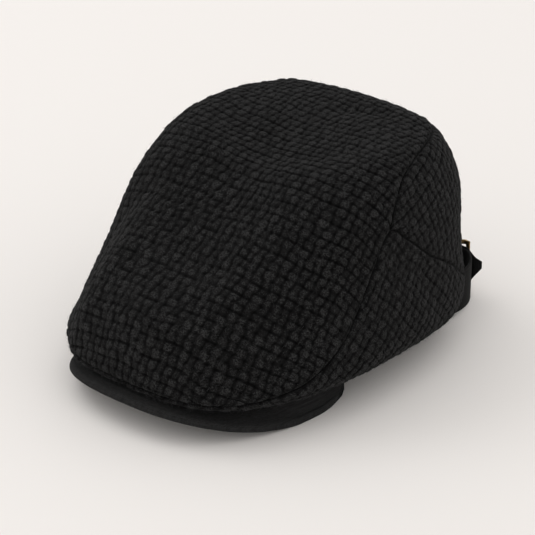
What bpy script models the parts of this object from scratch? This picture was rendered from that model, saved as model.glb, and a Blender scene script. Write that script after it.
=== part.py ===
"""Flat newsboy cap: knitted crown panels, lining, sweatband, stiff peak and an adjustable rear strap.

Frame: X is the wearer's left, -Y is the front, Z is up. The origin is under the middle of the cap,
on the surface that it stands on. Lengths are in metres; MM turns millimetres into metres.
"""

import math
from functools import partial

import bmesh
import bpy
import numpy as np

MM = 0.001

# Driving dimensions, in millimetres.
KNIT = 2.2          # thickness of the knitted outer fabric
LINING = 0.6        # thickness of the lining
SWEATBAND = 1.0     # thickness of the sweatband
SWEATBAND_HEIGHT = 28.0
BINDING = 0.5       # thickness of the tape round the rear opening
BINDING_GAP = 0.6
GAP = 0.6           # clearance left at every seam
LINING_DEPTH = 4.6  # from the knit's outer face to the lining's outer face
BAND_DEPTH = 5.8    # from the knit's outer face to the sweatband's outer face

# Horizontal contours of the crown, from the hem upwards, in millimetres:
# half width, front y, back y, squareness at the front and back, and height at the front, side and back.
CONTOURS = (
    (80.5, -123.0, 110.0, 3.1, 2.8, 21.0, 16.0, 3.0),
    (93.0, -122.8, 111.5, 2.6, 2.5, 31.0, 28.0, 24.0),
    (90.5, -110.0, 106.5, 2.2, 2.5, 59.5, 61.5, 66.0),
    (83.0, -72.0, 107.5, 2.3, 2.6, 83.0, 106.0, 88.0),
    (67.5, -26.0, 90.0, 2.4, 2.8, 112.0, 125.5, 120.0),
    (33.0, -3.0, 67.0, 2.0, 2.3, 118.5, 126.5, 130.0),
)
APEX = (30.0, 125.8)        # y and z of the crown's middle
LEVELS = len(CONTOURS)
SMOOTH_LEVEL = 4            # from this contour up, heights turn smoothly through the sides

# Seam between the side bands and the panels above them: angle from +X and share of the way down.
BAND_SEAM = ((-90, 0.915), (-56, 0.89), (-30, 0.72), (-20, 0.60), (-12, 0.54), (-3, 0.57),
             (9, 0.62), (24, 0.68), (37, 0.75), (50, 0.80), (90, 0.81))
# Seam between the top panel and the rear panel, given in the same way.
REAR_SEAM = ((-12, 0.54), (-7, 0.48), (-2, 0.43), (8, 0.38), (24, 0.345), (36, 0.335),
             (60, 0.35), (90, 0.37))
PANEL_CORNER = -12.0        # where the two seams meet
CORNER_TRIM = 1.2           # degrees left off the rear panel's pointed corners
OPENING_EDGE = 50.0         # where the side bands stop and the rear opening starts
LINING_SEAM = 0.60          # seam between the lining's top and its sides
LINING_STEPS = 7.5

# Peak, in millimetres.
PEAK_HALF_WIDTH = 75.5
PEAK_FRONT = -129.7
PEAK_BACK = -22.0           # y of the tips at the ends of the peak
PEAK_SQUARENESS = 2.75
PEAK_MID_HEIGHT = 19.4      # top of the peak on the centre line
PEAK_SIDE_HEIGHT = 2.6      # height that its cross curve heads for at the sides
PEAK_ARCH = 3.2             # power of that curve
PEAK_TIP_RISE = 10.0        # how far the tips climb again, up to the hem
PEAK_RISE_START = -50.0     # y where that climb starts
PEAK_TIP_TURN = 0.972       # the tips are cut off just short of a point
PEAK_SLOPE = 0.4            # steepest climb towards the head
PEAK_FOOT = 0.25            # share of its width, from the edge, that doesn't climb towards the head
PEAK_SEAM_HEIGHT = 15.5     # top of the peak along its seam
PEAK_COVER = 1.1
PEAK_BOARD = 1.8
LAYER_GAP = 0.3
PEAK_STACK = 2 * PEAK_COVER + PEAK_BOARD + 2 * LAYER_GAP

# Oval that the head takes up, in millimetres.
HEAD_FRONT = -81.0
HEAD_HALF_WIDTH = 76.8
HEAD_SQUARENESS = 2.4
FRONT_LINING_HALF_WIDTH = 95.0

# Rear strap and its metalwork, in millimetres.
STRAP_LOW, STRAP_HIGH = 3.5, 29.5
STRAP_THICKNESS = 1.5
LAYER_SPACING = 2.3         # between the middles of the strap's two layers
METAL_WIRE = 2.6            # the ring's wire
WIRE_GAP = 0.3
FOLD_RADIUS = METAL_WIRE / 2 + WIRE_GAP + STRAP_THICKNESS / 2
RING_LENGTH = 9.0           # between the middles of the ring's two upright bars
SLIDER_SHEET = 1.1
SLIDER_LENGTH = 22.0
SLIDER_BAR = 2.8            # width of the slider's bars and rails
SLIDER_LOW, SLIDER_HIGH = 0.0, 33.0
SLIDER_GAP = 0.6           # clearance between the slider and the strap
SLIDER_PLACE = 13.4         # from the start of the strap's straight run to the slider's middle

# Route of the strap in plan: from its sewn end, along a straight run, to the ring.
STRAP_SEWN_END = ((67.0, 69.5), (63.6, 77.5), (63.2, 86.5), (63.2, 95.5), (61.3, 104.0), (56.9, 111.9))
STRAIGHT_START, STRAIGHT_END = (50.0, 118.2), (7.0, 125.5)
STRAIGHT_SPANS = 5
STRAP_RING_END = ((-1.7, 126.6), (-10.0, 126.3), (-17.5, 124.8), (-24.5, 122.4))
# Route of the ring's tab, from the ring to its sewn end.
TAB_ROUTE = ((-40.5, 116.2), (-50.2, 110.6), (-58.2, 104.0), (-62.8, 95.5), (-63.2, 86.5), (-63.6, 77.5),
             (-67.0, 69.5))
TAB_OUTER_LENGTH = 17.0     # how far the tab's turned-back end reaches
TAIL_BEND = ((2.0, 0.5), (3.8, 1.6), (5.2, 3.2), (6.2, 5.0))    # along and away from the strap
TAIL_POINT = 11.0           # length of the tail's pointed end

PANEL_STEPS = 6.0           # degrees between grid lines round the crown


def contour_point(level, angle):
    """Point of one contour at an angle from +X, in millimetres. Above the last contour is the apex."""
    c, s = math.cos(angle), math.sin(angle)
    share = level / LEVELS
    middle = share * APEX[0]
    if level == LEVELS:
        return np.array((0.0, APEX[0], APEX[1]))
    half, front, back, square_front, square_back, z_front, z_side, z_back = CONTOURS[level]
    depth = middle - front if s < 0 else back - middle
    power = square_front if s < 0 else square_back
    radius = (abs(c / half) ** power + abs(s / depth) ** power) ** (-1 / power)
    if level < SMOOTH_LEVEL:
        height = z_side + ((z_front if s < 0 else z_back) - z_side) * s * s
    else:
        height = z_side + (z_back - z_front) / 2 * s + ((z_back + z_front) / 2 - z_side) * s * s
    return np.array((radius * c, middle + radius * s, height))


def crown_point(angle, down):
    """Outer face of the crown. down runs from 0 at the apex to 1 at the hem; a smooth curve joins the contours."""
    t = (1.0 - down) * LEVELS
    low = min(int(t), LEVELS - 1)
    f = t - low
    p = []
    for level in range(low - 1, low + 3):
        if level > LEVELS:
            p.append(contour_point(2 * LEVELS - level, angle + math.pi))
        else:
            p.append(contour_point(max(level, 0), angle))
    return 0.5 * (2 * p[1] + (p[2] - p[0]) * f + (2 * p[0] - 5 * p[1] + 4 * p[2] - p[3]) * f ** 2
                  + (3 * p[1] - p[0] - 3 * p[2] + p[3]) * f ** 3)


def crown_inside(angle, down, depth):
    """Point at a depth below the crown's outer face, measured square to it."""
    here = crown_point(angle, down)
    if down < 0.02:
        return here - np.array((0.0, 0.0, depth))
    along = crown_point(angle + 0.01, down) - crown_point(angle - 0.01, down)
    downward = crown_point(angle, min(down + 0.01, 1.0)) - crown_point(angle, down - 0.01)
    normal = np.cross(downward, along)
    return here - depth * normal / np.linalg.norm(normal)


def seam_share(table, degrees):
    """Share of the way down to a seam at an angle, the same on the left and the right."""
    mirrored = 180.0 - degrees if degrees > 90.0 else degrees
    angles, shares = zip(*table)
    return float(np.interp(mirrored, angles, shares))


def top_panel_edge(degrees):
    mirrored = 180.0 - degrees if degrees > 90.0 else degrees
    return above(BAND_SEAM if mirrored <= PANEL_CORNER else REAR_SEAM, degrees)


def material(name, colour, roughness, metallic=0.0):
    made = bpy.data.materials.new(name)
    made.use_nodes = True
    shader = made.node_tree.nodes["Principled BSDF"]
    shader.inputs["Base Color"].default_value = (*colour, 1.0)
    shader.inputs["Roughness"].default_value = roughness
    shader.inputs["Metallic"].default_value = metallic
    return made


def add_object(name, verts, faces, finish, smooth=True):
    """Object from points in millimetres, with its faces turned the same way."""
    mesh = bpy.data.meshes.new(name)
    mesh.from_pydata([tuple(float(x) * MM for x in v) for v in verts], [], faces)
    made = bpy.data.objects.new(name, mesh)
    bpy.context.scene.collection.objects.link(made)
    mesh.materials.append(finish)
    if smooth:
        mesh.shade_smooth()
        mesh.set_sharp_from_angle(angle=math.radians(40))
    return made


def recalculate(made):
    """Turns every face outwards: first all alike, then the other way if the volume comes out negative."""
    work = bmesh.new()
    work.from_mesh(made.data)
    bmesh.ops.recalc_face_normals(work, faces=work.faces)
    if work.calc_volume(signed=True) < 0.0:
        bmesh.ops.reverse_faces(work, faces=work.faces)
    work.to_mesh(made.data)
    work.free()


def add_slab(name, outer, inner, finish, closed=False, pole=None):
    """Closed solid between two matching grids of points. closed joins the last column to the first;
    pole gives the outer and inner points that shut the last row."""
    rows, columns = len(outer), len(outer[0])
    verts = [p for grid in (outer, inner) for row in grid for p in row]
    side = rows * columns
    faces = []
    wraps = columns if closed else columns - 1

    def at(layer, row, column):
        return layer * side + row * columns + column % columns

    for i in range(rows - 1):
        for j in range(wraps):
            faces.append((at(0, i, j), at(0, i, j + 1), at(0, i + 1, j + 1), at(0, i + 1, j)))
            faces.append((at(1, i, j), at(1, i + 1, j), at(1, i + 1, j + 1), at(1, i, j + 1)))
    for j in range(wraps):
        faces.append((at(0, 0, j), at(1, 0, j), at(1, 0, j + 1), at(0, 0, j + 1)))
        if pole is None:
            last = rows - 1
            faces.append((at(0, last, j), at(0, last, j + 1), at(1, last, j + 1), at(1, last, j)))
    if not closed:
        last = columns - 1
        for i in range(rows - 1):
            faces.append((at(0, i, 0), at(0, i + 1, 0), at(1, i + 1, 0), at(1, i, 0)))
            faces.append((at(0, i, last), at(1, i, last), at(1, i + 1, last), at(0, i + 1, last)))
    if pole is not None:
        verts.extend(pole)
        for j in range(wraps):
            faces.append((at(0, rows - 1, j), at(0, rows - 1, j + 1), 2 * side))
            faces.append((at(1, rows - 1, j + 1), at(1, rows - 1, j), 2 * side + 1))
    made = add_object(name, verts, faces, finish)
    recalculate(made)
    return made


def crown_slab(name, degrees, upper, lower, rows, depths, finish):
    """Piece of the crown between an upper and a lower seam, over a range of angles."""
    grids = []
    for depth in depths:
        grid = []
        for i in range(rows + 1):
            line = []
            for d in degrees:
                top, bottom = upper(d), lower(d)
                down = bottom + (top - bottom) * i / rows
                line.append(crown_inside(math.radians(d), down, depth))
            grid.append(line)
        grids.append(grid)
    return add_slab(name, grids[0], grids[1], finish)


def spread(start, stop, step=PANEL_STEPS):
    """Angles from start to stop. Between the two ends they are multiples of the step, so neighbours match."""
    low, high = min(start, stop), max(start, stop)
    inner = [k * step for k in range(math.ceil((low + 1.0) / step), math.floor((high - 1.0) / step) + 1)]
    made = [low] + inner + [high]
    return made if start < stop else made[::-1]


SEAM_DEGREES = math.degrees(GAP / 2 / 75.0)


def half_gap(share, degrees):
    """Share of the way down that makes half the seam clearance, measured square to the seam.
    share gives the seam's share of the way down at an angle."""
    angle, down = math.radians(degrees), share(degrees)
    downward = (crown_point(angle, down + 0.01) - crown_point(angle, down - 0.01)) / 0.02
    along = (crown_point(angle + math.radians(2), share(degrees + 2))
             - crown_point(angle - math.radians(2), share(degrees - 2)))
    return GAP / 2 * np.linalg.norm(along) / np.linalg.norm(np.cross(downward, along))


def above(table, degrees):
    share = partial(seam_share, table)
    return share(degrees) - half_gap(share, degrees)


def below(table, degrees):
    share = partial(seam_share, table)
    return share(degrees) + half_gap(share, degrees)


def lining_seam(degrees):
    return LINING_SEAM


def build_top_panel(finish):
    degrees = spread(-90.0, 270.0)[:-1]
    grids = []
    rows = 9
    for depth in (0.0, KNIT):
        grid = []
        for i in range(rows):
            grid.append([crown_inside(math.radians(d), top_panel_edge(d) * (1 - i / rows), depth)
                         for d in degrees])
        grids.append(grid)
    pole = [crown_inside(0.0, 0.0, depth) for depth in (0.0, KNIT)]
    return add_slab("top_panel", grids[0], grids[1], finish, closed=True, pole=pole)


def build_rear_panel(finish):
    degrees = spread(PANEL_CORNER + CORNER_TRIM, 180.0 - PANEL_CORNER - CORNER_TRIM)
    return crown_slab("rear_panel", degrees,
                      lambda d: below(REAR_SEAM, d), lambda d: above(BAND_SEAM, d), 6, (0.0, KNIT), finish)


def build_side_bands(finish):
    """Left and right bands: narrow over the peak, deep at the sides, ending at the rear opening."""
    spans = {"side_band_left": spread(-90.0 + SEAM_DEGREES, OPENING_EDGE),
             "side_band_right": spread(270.0 - SEAM_DEGREES, 180.0 - OPENING_EDGE)}
    for name, degrees in spans.items():
        crown_slab(name, degrees,
                   lambda d: below(BAND_SEAM, d), lambda d: 1.0, 4, (0.0, KNIT), finish)


def front_limit(point, depth):
    """Keeps a lining point behind the head's oval, where the crown's hollow front reaches out over the peak."""
    share = min(1.0, abs(point[0]) / FRONT_LINING_HALF_WIDTH)
    limit = (HEAD_FRONT + depth) * (1 - share ** HEAD_SQUARENESS) ** (1 / HEAD_SQUARENESS)
    return np.array((point[0], max(point[1], limit), point[2]))


def lining_point(degrees, down, extra):
    return front_limit(crown_inside(math.radians(degrees), down, LINING_DEPTH + extra), 1.0 + extra)


def lining_grid(degrees, upper, lower, rows, extra):
    return [[lining_point(d, lower(d) + (upper(d) - lower(d)) * i / rows, extra) for d in degrees]
            for i in range(rows + 1)]


def lining_low(degrees):
    """Lower edge of the lining: inside the sweatband's seam, and above the rear opening."""
    mirrored = 180.0 - degrees if degrees > 90.0 else degrees
    return 0.93 if mirrored < OPENING_EDGE - 10.0 else 0.76


def build_lining(finish):
    """Domed top and two side pieces. In front they stand up from the peak's seam, behind the hollow front."""
    spans = {"lining_side_left": spread(-90.0 + SEAM_DEGREES, 90.0 - SEAM_DEGREES, LINING_STEPS),
             "lining_side_right": spread(270.0 - SEAM_DEGREES, 90.0 + SEAM_DEGREES, LINING_STEPS)}
    for name, degrees in spans.items():
        grids = [lining_grid(degrees, lambda d: LINING_SEAM + half_gap(lining_seam, d), lining_low, 4, extra)
                 for extra in (0.0, LINING)]
        add_slab(name, grids[0], grids[1], finish)
    degrees = spread(-90.0, 270.0, LINING_STEPS)[:-1]
    grids = [lining_grid(degrees, lambda d: 0.0, lambda d: LINING_SEAM - half_gap(lining_seam, d), 6, extra)[:-1]
             for extra in (0.0, LINING)]
    pole = [crown_inside(0.0, 0.0, LINING_DEPTH + extra) for extra in (0.0, LINING)]
    add_slab("lining_top", grids[0], grids[1], finish, closed=True, pole=pole)


def sweatband_point(degrees, extra, lift):
    """Upright inside the hem; along the front it follows the head's oval, behind the peak."""
    angle = math.radians(degrees)
    c, s = math.cos(angle), math.sin(angle)
    bottom = crown_point(angle, 1.0)[2] + 1.0
    if s >= 0.0:
        p = crown_inside(angle, 1.0, BAND_DEPTH + extra)
        x, y = p[0], p[1]
    else:
        width, depth = HEAD_HALF_WIDTH - extra, -HEAD_FRONT - 2.2 - extra
        radius = (abs(c / width) ** HEAD_SQUARENESS + abs(s / depth) ** HEAD_SQUARENESS) ** (-1 / HEAD_SQUARENESS)
        x, y = radius * c, radius * s
        bottom -= 5.0 * s * s
    return np.array((x, y, bottom + lift))


def build_sweatband(finish):
    """Upright band inside the hem, from one side of the rear opening round the front to the other."""
    degrees = spread(OPENING_EDGE - 1.0, -180.0 - OPENING_EDGE + 1.0, 6.0)
    grids = [[[sweatband_point(d, extra, lift) for d in degrees] for lift in (0.0, SWEATBAND_HEIGHT)]
             for extra in (0.0, SWEATBAND)]
    add_slab("sweatband", grids[0], grids[1], finish)


def build_opening_binding(finish):
    """Tape on the inside of the rear opening's edge: up one band, across the rear panel, down the other."""
    edge, inner = OPENING_EDGE - 0.4, OPENING_EDGE - 5.0
    top, inner_top = 0.795, 0.76
    up = [(edge, inner, s, s) for s in (1.0, 0.95, 0.9, 0.85)]
    across = [(d, inner + (d - edge) * (90 - inner) / (90 - edge), top, inner_top)
              for d in spread(edge, 180.0 - edge, 6.0)]
    down = [(180.0 - a, 180.0 - b, s, t) for a, b, s, t in reversed(up)]
    grids = []
    for depth in (KNIT + BINDING_GAP, KNIT + BINDING_GAP + BINDING):
        outer_line, inner_line = [], []
        for a, b, s, t in up + across + down:
            outer_line.append(crown_inside(math.radians(a), s, depth))
            inner_line.append(crown_inside(math.radians(b), t, depth))
        grids.append([outer_line, inner_line])
    add_slab("opening_binding", grids[0], grids[1], finish)


def peak_height(x, y, inward, width):
    """Top of the peak. Its edge is arched across, climbs again at the tips and is flat where it stands;
    inward runs from 0 at the edge to 1 at the head, where a wide peak has climbed to its seam."""
    share = min(1.0, abs(x) / PEAK_HALF_WIDTH)
    height = PEAK_SIDE_HEIGHT + (PEAK_MID_HEIGHT - PEAK_SIDE_HEIGHT) * (1 - share ** PEAK_ARCH)
    climb = max(0.0, (y - PEAK_RISE_START) / (PEAK_BACK - PEAK_RISE_START))
    edge = max(height, PEAK_STACK) + PEAK_TIP_RISE * climb ** 2
    rise = max(0.0, (inward - PEAK_FOOT) / (1 - PEAK_FOOT))
    return edge + min(max(edge, PEAK_SEAM_HEIGHT) - edge, PEAK_SLOPE * width) * rise


def peak_outline(turn):
    """Outer edge of the peak; turn runs from -1 at the right tip to 1 at the left tip."""
    a = turn * math.pi / 2
    x = PEAK_HALF_WIDTH * math.copysign(abs(math.sin(a)) ** (2 / PEAK_SQUARENESS), a)
    y = PEAK_BACK + (PEAK_FRONT - PEAK_BACK) * math.cos(a) ** (2 / PEAK_SQUARENESS)
    return np.array((x, y))


def peak_inner(turn):
    """Inner edge of the peak, along the front of the head's oval."""
    a = turn * math.pi / 2 * 0.84
    x = (HEAD_HALF_WIDTH + 0.6) * math.copysign(abs(math.sin(a)) ** (2 / HEAD_SQUARENESS), a)
    y = (HEAD_FRONT - 2.5) * math.cos(a) ** (2 / HEAD_SQUARENESS)
    return np.array((x, y))


def build_peak_layer(name, lift, thickness, inset, finish):
    """One layer of the peak: a crescent, curved down towards its sides."""
    rows, columns = 4, 44
    grids = []
    for level in (lift, lift - thickness):
        grid = []
        for i in range(rows + 1):
            line = []
            for j in range(columns + 1):
                turn = (2 * j / columns - 1) * (PEAK_TIP_TURN - 0.01 * inset)
                outer, inner = peak_outline(turn), peak_inner(turn)
                width = np.linalg.norm(inner - outer)
                share = i / rows
                if i in (0, rows):
                    share += math.copysign(inset / width, 0.5 - share)
                x, y = outer + (inner - outer) * share
                line.append((x, y, peak_height(x, y, share, width) + level))
            grid.append(line)
        grids.append(grid)
    add_slab(name, grids[0], grids[1], finish)


def build_peak(cover_finish, board_finish):
    board_top = -PEAK_COVER - LAYER_GAP
    build_peak_layer("peak_top_cover", 0.0, PEAK_COVER, 0.0, cover_finish)
    build_peak_layer("peak_board", board_top, PEAK_BOARD, 1.2, board_finish)
    build_peak_layer("peak_under_cover", board_top - PEAK_BOARD - LAYER_GAP, PEAK_COVER, 0.0, cover_finish)


def smooth_route(points, spacing=2.5):
    """Points along a smooth curve through a list of plan points."""
    p = [np.array(q, float) for q in points]
    p = [2 * p[0] - p[1]] + p + [2 * p[-1] - p[-2]]
    made = []
    for a, b, c, d in zip(p, p[1:], p[2:], p[3:]):
        count = max(1, round(float(np.linalg.norm(c - b)) / spacing))
        for k in range(count):
            f = k / count
            made.append(0.5 * (2 * b + (c - a) * f + (2 * a - 5 * b + 4 * c - d) * f ** 2
                               + (3 * b - a - 3 * c + d) * f ** 3))
    made.append(p[-2])
    return made


def directions(line):
    """Unit direction of travel at each point of a route."""
    made = []
    for i in range(len(line)):
        step = line[min(i + 1, len(line) - 1)] - line[max(i - 1, 0)]
        made.append(step / np.linalg.norm(step))
    return made


def run_lengths(line):
    made = [0.0]
    for a, b in zip(line, line[1:]):
        made.append(made[-1] + float(np.linalg.norm(b - a)))
    return made


def away_from_cap(direction):
    """Square to a direction of travel from the wearer's left to the right, pointing away from the cap."""
    return np.array((direction[1], -direction[0]))


def standing_layer():
    """Middle of the strap's inner layer, from its sewn end to the ring, and its exact straight run."""
    start, end = np.array(STRAIGHT_START), np.array(STRAIGHT_END)
    along = (end - start) / np.linalg.norm(end - start)
    straight = tuple(start + (end - start) * k / STRAIGHT_SPANS for k in range(STRAIGHT_SPANS + 1))
    return smooth_route(STRAP_SEWN_END + straight + STRAP_RING_END), start, along


def spacing_near_ring(distance):
    """The two layers lie close together, and open round the ring's wire."""
    return LAYER_SPACING + (2 * FOLD_RADIUS - LAYER_SPACING) * math.exp(-(distance / 6.0) ** 2)


def fold(centre, travel, steps=8):
    """Half circle round a ring bar, from the layer next to the cap to the layer outside."""
    out = away_from_cap(travel)
    angles = [math.pi * k / steps for k in range(1, steps)]
    return [centre + FOLD_RADIUS * (math.sin(a) * travel - math.cos(a) * out) for a in angles]


def ribbon(name, line, finish, tip=0.0):
    """Upright strap along a plan route. tip is the length of its pointed end, measured from the last point."""
    lengths = run_lengths(line)
    middle, half = (STRAP_LOW + STRAP_HIGH) / 2, (STRAP_HIGH - STRAP_LOW) / 2
    grids = []
    for side in (-0.5, 0.5):
        lower, upper = [], []
        for p, travel, run in zip(line, directions(line), lengths):
            q = p + side * STRAP_THICKNESS * away_from_cap(travel)
            share = min(1.0, 0.12 + 0.88 * (lengths[-1] - run) / tip) if tip else 1.0
            lower.append((q[0], q[1], middle - half * share))
            upper.append((q[0], q[1], middle + half * share))
        grids.append([lower, upper])
    add_slab(name, grids[0], grids[1], finish)


def build_strap(finish):
    """Sewn in at the left, straight through the slider, round the ring and back through the slider."""
    inner, start, along = standing_layer()
    travel = directions(inner)
    lengths = run_lengths(inner)
    ring_bar = inner[-1] + FOLD_RADIUS * away_from_cap(travel[-1])
    outer = []
    for p, t, run in zip(inner, travel, lengths):
        if np.dot(p - start, along) >= 0.0 and run < lengths[-1] - 0.5:
            outer.append(p + spacing_near_ring(lengths[-1] - run) * away_from_cap(t))
    outer.reverse()
    out = away_from_cap(along)
    tail = [outer[-1] - ahead * along + off * out for ahead, off in TAIL_BEND]
    ribbon("adjuster_strap", inner + fold(ring_bar, travel[-1]) + outer + tail, finish, tip=TAIL_POINT)
    return ring_bar, travel[-1]


def build_tab(near_bar, travel, finish):
    """Short strap from the right band, looped round the ring's far bar."""
    far_bar = near_bar + RING_LENGTH * travel
    first = far_bar - FOLD_RADIUS * away_from_cap(travel)
    inner = smooth_route((first,) + TAB_ROUTE)
    directed = directions(inner)
    lengths = run_lengths(inner)
    outer = [p + spacing_near_ring(run) * away_from_cap(t)
             for p, t, run in zip(inner, directed, lengths) if 0.5 < run < TAB_OUTER_LENGTH]
    turned = [2 * far_bar - p + 2 * np.dot(p - far_bar, away_from_cap(travel)) * away_from_cap(travel)
              for p in fold(far_bar, travel)]
    ribbon("ring_tab", inner[::-1] + turned + outer, finish)
    return far_bar


def build_ring(near_bar, far_bar, finish):
    """Rectangular wire ring with round corners, standing upright between the strap and its tab."""
    along = (far_bar - near_bar) / np.linalg.norm(far_bar - near_bar)
    out = away_from_cap(along)
    middle = (near_bar + far_bar) / 2
    corner = 3.0
    half_length = RING_LENGTH / 2
    low, high = SLIDER_LOW + METAL_WIRE / 2 + 0.2, SLIDER_HIGH - METAL_WIRE / 2 - 0.2
    path = []
    for quarter, (u, v) in enumerate(((1, 1), (-1, 1), (-1, -1), (1, -1))):
        for k in range(5):
            a = math.pi / 2 * (quarter + k / 4)
            height = (high if v > 0 else low) - v * corner
            path.append((u * (half_length - corner) + corner * math.cos(a), height + corner * math.sin(a)))
    sides = 10
    grid = []
    for i, (u, z) in enumerate(path):
        after, before = path[(i + 1) % len(path)], path[i - 1]
        tangent = np.array((after[0] - before[0], after[1] - before[1]))
        tangent /= np.linalg.norm(tangent)
        ring = []
        for k in range(sides):
            a = 2 * math.pi * k / sides
            du, dz = tangent[1] * math.cos(a), -tangent[0] * math.cos(a)
            reach = METAL_WIRE / 2
            p = middle + (u + reach * du) * along + reach * math.sin(a) * out
            ring.append((p[0], p[1], z + reach * dz))
        grid.append(ring)
    verts = [p for ring in grid for p in ring]
    faces = []
    for i in range(len(grid)):
        for k in range(sides):
            n, m = (i + 1) % len(grid), (k + 1) % sides
            faces.append((i * sides + k, n * sides + k, n * sides + m, i * sides + m))
    recalculate(add_object("strap_ring", verts, faces, finish))


def slider_offset(u):
    """How far the slider's sheet stands from the middle of the strap's inner layer, out from the cap.
    The middle bar is under both layers and the end bars are over them, so the rails arch between."""
    under = -STRAP_THICKNESS / 2 - SLIDER_GAP - SLIDER_SHEET / 2
    over = LAYER_SPACING + STRAP_THICKNESS / 2 + SLIDER_GAP + SLIDER_SHEET / 2
    inner, outer = SLIDER_BAR / 2 + 0.3, SLIDER_LENGTH / 2 - SLIDER_BAR - 0.3
    share = min(1.0, max(0.0, (abs(u) - inner) / (outer - inner)))
    return under + (over - under) * (1 - math.cos(math.pi * share)) / 2


def build_slider(parent, finish):
    """Sheet metal slider with two windows, a middle bar and two end bars. Its origin is on its slide axis."""
    _, start, along = standing_layer()
    out = away_from_cap(along)
    centre = start + SLIDER_PLACE * along
    half = SLIDER_LENGTH / 2
    inner = SLIDER_BAR / 2
    arch = list(np.linspace(inner, half - SLIDER_BAR, 7))
    right = arch + [half]
    columns = [-u for u in reversed(right)] + right
    levels = (SLIDER_LOW, SLIDER_LOW + SLIDER_BAR, SLIDER_HIGH - SLIDER_BAR, SLIDER_HIGH)
    middle = (STRAP_LOW + STRAP_HIGH) / 2

    def window(i, j):
        reach = abs(columns[i] + columns[i + 1]) / 2
        return j == 1 and inner < reach < half - SLIDER_BAR

    def place(u, v, side):
        slope = (slider_offset(u + 0.05) - slider_offset(u - 0.05)) / 0.1
        length = math.hypot(1.0, slope)
        w = slider_offset(u) + side * SLIDER_SHEET / 2 / length
        p = (u - side * SLIDER_SHEET / 2 * slope / length) * along + w * out
        return (p[0], p[1], v - middle)

    width = len(columns)
    count = width * len(levels)
    verts = [place(u, v, side) for side in (1, -1) for v in levels for u in columns]
    cells = [(i, j) for j in range(len(levels) - 1) for i in range(width - 1) if not window(i, j)]
    faces = []
    edges = {}
    for i, j in cells:
        corners = (j * width + i, j * width + i + 1, (j + 1) * width + i + 1, (j + 1) * width + i)
        faces.append(corners)
        faces.append(tuple(c + count for c in reversed(corners)))
        for a, b in zip(corners, corners[1:] + corners[:1]):
            edges[(a, b)] = (b, a)
    for (a, b), back in edges.items():
        if back not in edges:
            faces.append((b, a, a + count, b + count))
    used = sorted({v for face in faces for v in face})
    index = {v: k for k, v in enumerate(used)}
    made = add_object("strap_slider", [verts[v] for v in used], [tuple(index[v] for v in f) for f in faces], finish)
    recalculate(made)
    parent.location = (centre[0] * MM, centre[1] * MM, middle * MM)
    made.parent = parent


def main():
    for old in list(bpy.data.objects):
        bpy.data.objects.remove(old)
    knit = material("black_knit", (0.012, 0.012, 0.013), 0.95)
    twill = material("black_twill", (0.014, 0.014, 0.015), 0.9)
    satin = material("black_satin", (0.02, 0.02, 0.022), 0.45)
    webbing = material("black_webbing", (0.012, 0.012, 0.012), 0.8)
    board = material("white_board", (0.75, 0.75, 0.72), 0.6)
    brass = material("aged_brass", (0.36, 0.25, 0.10), 0.35, 1.0)

    build_top_panel(knit)
    build_rear_panel(knit)
    build_side_bands(knit)
    build_lining(satin)
    build_sweatband(twill)
    build_opening_binding(twill)
    build_peak(twill, board)
    near_bar, travel = build_strap(webbing)
    far_bar = build_tab(near_bar, travel, webbing)
    build_ring(near_bar, far_bar, brass)
    slide_axis = bpy.data.objects.new("slider_axis", None)
    bpy.context.scene.collection.objects.link(slide_axis)
    build_slider(slide_axis, brass)


main()
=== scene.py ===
import math

import bmesh
import bpy
import numpy as np
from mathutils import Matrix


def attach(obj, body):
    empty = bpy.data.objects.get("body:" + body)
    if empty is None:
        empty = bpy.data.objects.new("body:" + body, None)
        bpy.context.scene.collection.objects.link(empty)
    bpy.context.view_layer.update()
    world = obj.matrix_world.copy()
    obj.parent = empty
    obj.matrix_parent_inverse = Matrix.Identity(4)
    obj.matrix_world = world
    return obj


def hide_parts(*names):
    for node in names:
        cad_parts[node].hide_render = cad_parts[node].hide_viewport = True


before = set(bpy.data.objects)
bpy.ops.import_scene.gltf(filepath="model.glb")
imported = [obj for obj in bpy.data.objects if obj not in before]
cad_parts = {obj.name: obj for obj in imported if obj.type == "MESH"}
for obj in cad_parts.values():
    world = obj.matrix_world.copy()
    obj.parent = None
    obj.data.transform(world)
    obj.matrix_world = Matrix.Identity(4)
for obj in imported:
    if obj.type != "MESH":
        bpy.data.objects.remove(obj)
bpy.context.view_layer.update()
mm = 0.001
print("frame loaded")

# A flat knitted cap. X is the wearer's left, -Y the front, Z up. Lengths below are in millimetres
# unless a name says otherwise; meshes are written in metres.


def addMesh(name, points, faces, material, uv=None, nubShadeAndTone=None):
    # one object at the origin from points in millimetres; uv and the knit's colour factor (painted shade
    # between the nubs and at the seams, with a random tone per nub) are values at its points
    mesh = bpy.data.meshes.new(name)
    mesh.from_pydata((np.asarray(points) * mm).tolist(), [], faces)
    loops = np.empty(len(mesh.loops), np.int32)
    mesh.loops.foreach_get("vertex_index", loops)
    if uv is not None:
        layer = mesh.uv_layers.new(name="UVMap")
        layer.data.foreach_set("uv", (np.asarray(uv) * mm)[loops].astype(np.float32).ravel())
    if nubShadeAndTone is not None:
        value = mesh.attributes.new("nubShadeAndTone", "FLOAT", "POINT")
        value.data.foreach_set("value", np.asarray(nubShadeAndTone, np.float32))
    mesh.materials.append(material)
    mesh.shade_smooth()
    made = bpy.data.objects.new(name, mesh)
    bpy.context.scene.collection.objects.link(made)
    faceOutwards(made)
    return made


def faceOutwards(made):
    # a closed mesh with a negative volume is inside out, so its faces are turned
    work = bmesh.new()
    work.from_mesh(made.data)
    if work.calc_volume(signed=True) < 0:
        bmesh.ops.reverse_faces(work, faces=work.faces)
        work.to_mesh(made.data)
    work.free()


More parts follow.
